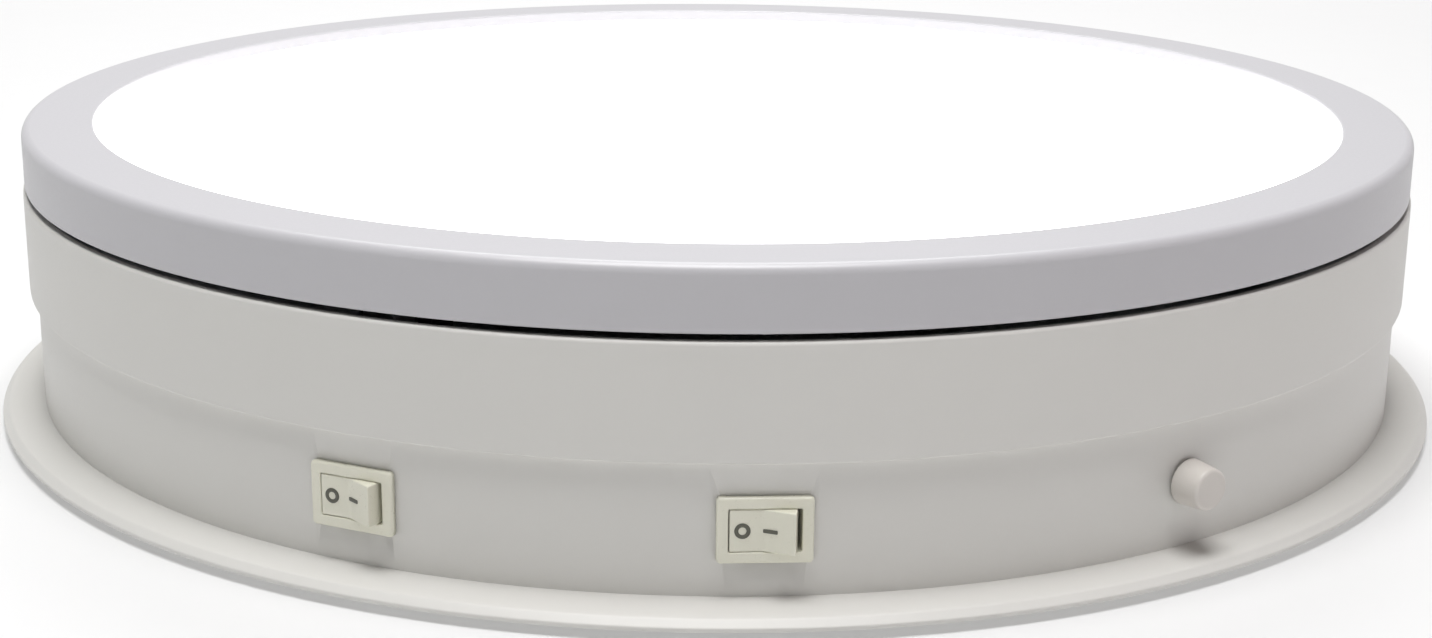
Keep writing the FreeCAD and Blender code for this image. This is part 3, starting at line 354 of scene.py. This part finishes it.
def base_plate():
    """Bottom plate and the low flange round it, with vents and screw holes."""
    bm = bmesh.new()
    spin(bm, rounded([
        (0, FLOOR_BOTTOM, 0), (FLOOR_RADIUS, FLOOR_BOTTOM, 0), (FLOOR_RADIUS, FLANGE_BOTTOM, 0),
        (FLANGE_RADIUS, FLANGE_BOTTOM, 0.3 * MM), (FLANGE_RADIUS, FLANGE_BOTTOM + 1.0 * MM, 0.6 * MM),
        (SHOULDER_RADIUS, SHOULDER_HEIGHT, 1.5 * MM), (WAIST_RADIUS, FLANGE_TOP, 0),
        (SEAT_RADIUS, FLANGE_TOP, 0), (SEAT_RADIUS, FLOOR_TOP, 0), (0, FLOOR_TOP, 0)]))
    plate = finish_mesh("base_plate_skin", bm, WHITE_SHELL, "base", ["base_plate"])
    below, above = FLOOR_BOTTOM - 2.0 * MM, FLANGE_TOP + 2.0 * MM
    hole = [Vector((0, below)), Vector((SCREW_HOLE_RADIUS, below)),
            Vector((SCREW_HOLE_RADIUS, above)), Vector((0, above))]
    cutter_mesh = bmesh.new()
    for ring in (on_circle(BOSS_CIRCLE, BOSS_COUNT, BOSS_ANGLE),
                 on_circle(FOOT_CIRCLE, FOOT_COUNT, FOOT_ANGLE)):
        for place in ring:
            spin(cutter_mesh, hole, place, 24)
    upright = Matrix.Rotation(math.pi / 2, 4, "X")
    vent = rounded_rectangle(VENT_HALF_LENGTH, VENT_HALF_WIDTH, 0.1 * MM)
    for middle in VENT_CIRCLES:
        for k in range(VENT_COUNT):
            turn = Matrix.Rotation(2 * math.pi * k / VENT_COUNT, 4, "Z")
            loft(cutter_mesh, [(vent, -above), (vent, -below)],
                 turn @ Matrix.Translation(Vector((middle, 0, 0))) @ upright)
    bmesh.ops.recalc_face_normals(cutter_mesh, faces=cutter_mesh.faces)
    cut_away(plate, cutter_mesh)


# ---------------------------------------------------------------- trim ring and panel
def trim_ring():
    inner = RING_RADIUS - RING_WALL
    lip_bottom = RING_TOP - LIP_THICKNESS
    bm = bmesh.new()
    spin(bm, rounded([
        (RING_RADIUS, RING_BOTTOM, 0.3 * MM), (RING_RADIUS, RING_TOP, 2.4 * MM),
        (LIP_RADIUS, RING_TOP, 0.6 * MM),
        (LIP_RADIUS, PANEL_TOP + 0.1 * MM, 0.2 * MM), (LIP_RADIUS + 2.5 * MM, PANEL_TOP + 0.1 * MM, 0),
        (LIP_RADIUS + 2.5 * MM, lip_bottom, 0), (inner, lip_bottom, 0), (inner, RING_BOTTOM, 0.3 * MM)]))
    for place in on_circle(RING_BOSS_CIRCLE, RING_BOSS_COUNT, 0.0):
        spin(bm, rounded([(THREAD_HOLE_RADIUS, RING_BOSS_BOTTOM, 0), (4.5 * MM, RING_BOSS_BOTTOM, 0.4 * MM),
                          (4.5 * MM, lip_bottom, 0), (THREAD_HOLE_RADIUS, lip_bottom, 0)]), place, 32)
    finish_mesh("trim_ring_skin", bm, GREY_RING, "platform", ["trim_ring"])

    bm = bmesh.new()
    spin(bm, rounded([(0, PANEL_BOTTOM, 0), (PANEL_RADIUS, PANEL_BOTTOM, 0.3 * MM),
                      (PANEL_RADIUS, PANEL_TOP, 0.3 * MM), (0, PANEL_TOP, 0)]))
    finish_mesh("opal_panel", bm, OPAL, "platform", ["diffuser"])


# ---------------------------------------------------------------- rocker switches
def switch(side, angle):
    """Bezel with a rounded rim and the switch body behind it."""
    half_l, half_h = 10.5 * MM, 7.5 * MM
    open_l, open_h = 7.9 * MM, 4.88 * MM
    face, back = BEZEL_FACE, BEZEL_FACE - 1.5 * MM
    inside = rounded_rectangle(9.4 * MM, 6.4 * MM, 0.6 * MM)
    loops = [(inside, back - 16.0 * MM), (inside, back), (rounded_rectangle(half_l, half_h, 1.0 * MM), back)]
    loops += rounded_rim(half_l, half_h, 1.0 * MM, 0.7 * MM, face)
    lip = 0.35 * MM
    for k in range(ARC_STEPS + 1):
        a = math.pi / 2 * k / ARC_STEPS
        inset = lip * (1 - math.sin(a))
        loops.append((rounded_rectangle(open_l + inset, open_h + inset, 0.4 * MM + inset),
                      face - lip * (1 - math.cos(a))))
    loops.append((rounded_rectangle(open_l, open_h, 0.4 * MM), face - 10.0 * MM))
    bm = bmesh.new()
    loft(bm, loops, facing(angle, 0, SWITCH_HEIGHT))
    finish_mesh(side + "_switch_bezel", bm, CREAM, "base", [side + "_switch_housing"])


def rocker(side, angle):
    """V-faced rocker with rounded edges, left end pressed in, with its two marks."""
    pivot = WAIST_RADIUS - 0.3 * MM
    half, dip = 7.2 * MM, BEZEL_FACE - pivot
    rise = half * math.tan(ROCKER_TILT)
    level = [(-half, dip + rise), (-0.9 * MM, dip + 0.02 * MM), (0, dip - 0.06 * MM),
             (0.9 * MM, dip + 0.02 * MM), (half, dip + rise), (half - 0.1 * MM, 0.0),
             (half * 0.8, -3.4 * MM), (-half * 0.8, -3.4 * MM), (0.1 * MM - half, 0.0)]
    body = side + "_rocker"
    place = facing(angle, pivot, SWITCH_HEIGHT) @ Matrix.Rotation(-ROCKER_TILT, 4, "Z")
    bm = bmesh.new()
    rows = [[bm.verts.new(place @ Vector((u, -w, z))) for u, w in level] for z in (-4.8 * MM, 4.8 * MM)]
    count = len(level)
    for i in range(count):
        j = (i + 1) % count
        bm.faces.new((rows[0][i], rows[0][j], rows[1][j], rows[1][i]))
    bm.faces.new(rows[0])
    bm.faces.new(list(reversed(rows[1])))
    piece = finish_mesh(body + "_cap", bm, CREAM, body, [body])
    soft = piece.modifiers.new("soft_edges", "BEVEL")
    soft.width = 0.35 * MM
    soft.segments = 4
    soft.limit_method = "ANGLE"
    soft.angle_limit = math.radians(30)
    piece.modifiers.move(1, 0)

    slope = math.atan2(rise, half)
    for mark, u in (("off", -4.4 * MM), ("on", 1.5 * MM)):
        bm = bmesh.new()
        lean = slope if u < 0 else -slope
        w = dip + abs(u) * math.tan(ROCKER_TILT)
        spot = place @ Matrix.Translation(Vector((u, -w, 0))) @ Matrix.Rotation(lean, 4, "Z")
        if mark == "off":
            ring = Matrix.Rotation(math.pi / 2, 4, "X")
            spin(bm, rounded([(0.88 * MM, -MARK_DEPTH, 0), (1.75 * MM, -MARK_DEPTH, 0),
                              (1.75 * MM, MARK_PROUD, 0), (0.88 * MM, MARK_PROUD, 0)]), spot @ ring, 48)
        else:
            bar = rounded_rectangle(1.65 * MM, 0.42 * MM, 0.2 * MM)
            loft(bm, [(bar, -MARK_DEPTH), (bar, MARK_PROUD)], spot)
        finish_mesh("%s_mark_%s" % (side, mark), bm, MARK, body)


# ---------------------------------------------------------------- knob, inlet, feet and screws
def outward(angle):
    """Frame whose Z axis points out of the waist at an angle from the front, at switch height."""
    return facing(angle, 0, SWITCH_HEIGHT) @ Matrix.Rotation(math.pi / 2, 4, "X")


def speed_knob():
    start, length = WAIST_RADIUS + 0.6 * MM, 7.4 * MM
    bm = bmesh.new()
    spin(bm, rounded([
        (KNOB_BORE_RADIUS, start, 0.1 * MM), (5.5 * MM, start, 0.35 * MM),
        (4.8 * MM, start + length, 0.9 * MM),
        (0, start + length, 0), (0, start + length - 2.0 * MM, 0),
        (KNOB_BORE_RADIUS, start + length - 2.0 * MM, 0)]), outward(KNOB_ANGLE), 96)
    finish_mesh("speed_knob_cap", bm, KNOB_WHITE, "knob", ["speed_knob"])


def power_inlet():
    face = WAIST_RADIUS + 1.6 * MM
    back = face - 1.5 * MM
    half_l, half_h, corner = 12.0 * MM, 8.0 * MM, 1.4 * MM
    inside = rounded_rectangle(10.3 * MM, 6.3 * MM, 0.8 * MM)
    loops = [(inside, back - 14.0 * MM), (inside, back), (rounded_rectangle(half_l, half_h, corner), back)]
    loops += rounded_rim(half_l, half_h, corner, 0.8 * MM, face)
    mouth = [rounded_rectangle(8.0 * MM + e, 4.2 * MM + e, 4.19 * MM + e) for e in (0.3 * MM, 0.0)]
    loops += [(mouth[0], face), (mouth[1], face - 0.3 * MM), (mouth[1], face - 11.0 * MM)]
    bm = bmesh.new()
    loft(bm, loops, facing(INLET_ANGLE, 0, SWITCH_HEIGHT))
    finish_mesh("power_inlet_socket", bm, BLACK, "base", ["power_inlet"])


def feet():
    bm = bmesh.new()
    for place in on_circle(FOOT_CIRCLE, FOOT_COUNT, FOOT_ANGLE):
        spin(bm, rounded([
            (5.0 * MM, 0, 0.25 * MM), (9.3 * MM, 0, 0.4 * MM), (10.0 * MM, 0.9 * MM, 0.4 * MM),
            (10.0 * MM, FOOT_TOP, 0), (SCREW_HOLE_RADIUS, FOOT_TOP, 0), (SCREW_HOLE_RADIUS, 2.0 * MM, 0),
            (5.0 * MM, 2.0 * MM, 0)]), place, 64)
    finish_mesh("rubber_feet_soft", bm, RUBBER, "base", ["rubber_feet"])


def button_screws(name, node, circle, count, first, face, head, radius, tip):
    """Button-head screws with a hexagon socket. Heads face down and the shank points up to its tip."""
    bm = bmesh.new()
    around, dome = 24, math.radians(80)

    def disc(r):
        turns = [2 * math.pi * k / around for k in range(around)]
        return [(r * math.cos(a), r * math.sin(a)) for a in turns]

    def hexagon(r):
        side = around // 6
        corners = [(r * math.cos(math.pi / 3 * k), r * math.sin(math.pi / 3 * k)) for k in range(6)]
        points = []
        for k in range(around):
            here, there, t = corners[k // side], corners[(k // side + 1) % 6], k % side / side
            points.append(tuple(here[i] * (1 - t) + there[i] * t for i in (0, 1)))
        return points

    downwards = Matrix.Rotation(math.radians(90), 4, "X")
    for place in on_circle(circle, count, first):
        loops = [(disc(SHANK_RADIUS), -tip), (disc(SHANK_RADIUS), -face), (disc(radius), -face)]
        for k in range(1, 6):
            t = dome * k / 5
            loops.append((disc(radius * math.cos(t * 0.55)), -face + head * math.sin(t) / math.sin(dome)))
        loops += [(hexagon(1.15 * MM), -face + head), (hexagon(1.1 * MM), -face + 0.4 * head)]
        loft(bm, loops, place @ downwards)
    finish_mesh(name, bm, ZINC, "base", [node])


base_shell()
base_plate()
trim_ring()
for side, angle in (("left", LEFT_SWITCH_ANGLE), ("centre", 0.0)):
    switch(side, angle)
    rocker(side, angle)
speed_knob()
power_inlet()
feet()
button_screws("bottom_screw_heads", "bottom_screws", BOSS_CIRCLE, BOSS_COUNT, BOSS_ANGLE, 3.0 * MM, 1.6 * MM,
              2.8 * MM, 14.0 * MM)
button_screws("foot_screw_heads", "foot_screws", FOOT_CIRCLE, FOOT_COUNT, FOOT_ANGLE, 2.0 * MM, 1.3 * MM,
              3.0 * MM, 8.4 * MM)


# ---------------------------------------------------------------- floor, light and camera
CAMERA_LENS, CAMERA_PLACE = 58.17, (-0.0373, -0.6510, 0.1989)
CAMERA_TURNS = (3.28, 15.8, 0.53)  # heading, pitch and roll in degrees


def floor():
    """Pale floor with a faint glow of its own that grows with distance, so it stays pale to the horizon."""
    bm = bmesh.new()
    bmesh.ops.create_grid(bm, x_segments=1, y_segments=1, size=6.0)
    mesh = bpy.data.meshes.new("floor")
    bm.to_mesh(mesh)
    bm.free()
    plane = bpy.data.objects.new("floor", mesh)
    bpy.context.scene.collection.objects.link(plane)
    pale = surface("pale_floor", (0.55, 0.55, 0.55), 0.75, grain=60.0, depth=0.05, shade=0.004)
    tree = pale.node_tree
    bsdf = tree.nodes["Principled BSDF"]
    socket(bsdf, "Emission Color", (1, 1, 1, 1))
    distance = tree.nodes.new("ShaderNodeVectorMath")
    distance.operation = "LENGTH"
    tree.links.new(tree.nodes["Texture Coordinate"].outputs["Object"], distance.inputs[0])
    glow = tree.nodes.new("ShaderNodeMapRange")
    glow.inputs["From Min"].default_value = 0.8
    glow.inputs["From Max"].default_value = 4.0
    glow.inputs["To Min"].default_value = 0.27
    glow.inputs["To Max"].default_value = 0.66
    tree.links.new(distance.outputs["Value"], glow.inputs["Value"])
    tree.links.new(glow.outputs["Result"], bsdf.inputs["Emission Strength"])
    mesh.materials.append(pale)


def area_light(name, place, target, size, power, colour=(1, 1, 1)):
    lamp = bpy.data.lights.new(name, "AREA")
    lamp.color = colour
    lamp.shape = "DISK"
    lamp.size = size
    lamp.energy = power
    light = bpy.data.objects.new(name, lamp)
    bpy.context.scene.collection.objects.link(light)
    light.location = place
    light.rotation_euler = (Vector(target) - Vector(place)).to_track_quat("-Z", "Y").to_euler()


def studio():
    """White surroundings, pale at the horizon and dim overhead, where the lamps do the work."""
    world = bpy.data.worlds.new("studio")
    world.use_nodes = True
    tree = world.node_tree
    background = tree.nodes["Background"]
    background.inputs["Color"].default_value = (1, 1, 1, 1)
    coords = tree.nodes.new("ShaderNodeTexCoord")
    split = tree.nodes.new("ShaderNodeSeparateXYZ")
    tree.links.new(coords.outputs["Generated"], split.inputs["Vector"])
    fade = tree.nodes.new("ShaderNodeMapRange")
    fade.interpolation_type = "SMOOTHSTEP"
    fade.inputs["From Min"].default_value = 0.05
    fade.inputs["From Max"].default_value = 0.40
    fade.inputs["To Min"].default_value = 0.72
    fade.inputs["To Max"].default_value = 0.06
    tree.links.new(split.outputs["Z"], fade.inputs["Value"])
    tree.links.new(fade.outputs["Result"], background.inputs["Strength"])
    bpy.context.scene.world = world


def camera():
    """A little to the left of the front, looking down by about sixteen degrees."""
    data = bpy.data.cameras.new("camera")
    data.lens = CAMERA_LENS
    data.sensor_width = 36.0
    eye = bpy.data.objects.new("camera", data)
    bpy.context.scene.collection.objects.link(eye)
    heading, pitch, roll = (math.radians(a) for a in CAMERA_TURNS)
    forward = Vector((math.sin(heading) * math.cos(pitch), math.cos(heading) * math.cos(pitch),
                      -math.sin(pitch)))
    right = Vector((math.cos(heading), -math.sin(heading), 0))
    up = right.cross(forward)
    tilted_right = right * math.cos(roll) + up * math.sin(roll)
    tilted_up = up * math.cos(roll) - right * math.sin(roll)
    eye.matrix_world = Matrix.Translation(CAMERA_PLACE) @ Matrix(
        (tilted_right, tilted_up, -forward)).transposed().to_4x4()
    bpy.context.scene.camera = eye


floor()
area_light("overhead", (-0.10, -0.33, 1.9), (-0.10, -0.33, 0), 1.1, 39.5)
area_light("backdrop_light", (0, 1.5, 1.7), (0, 1.5, 0), 1.6, 27)
area_light("pink_fill", (2.4, -1.1, 1.5), (0.1, 0, 0.03), 2.4, 2.4, (1.0, 0.42, 0.50))
studio()
bpy.context.scene.view_settings.view_transform = "Standard"
camera()
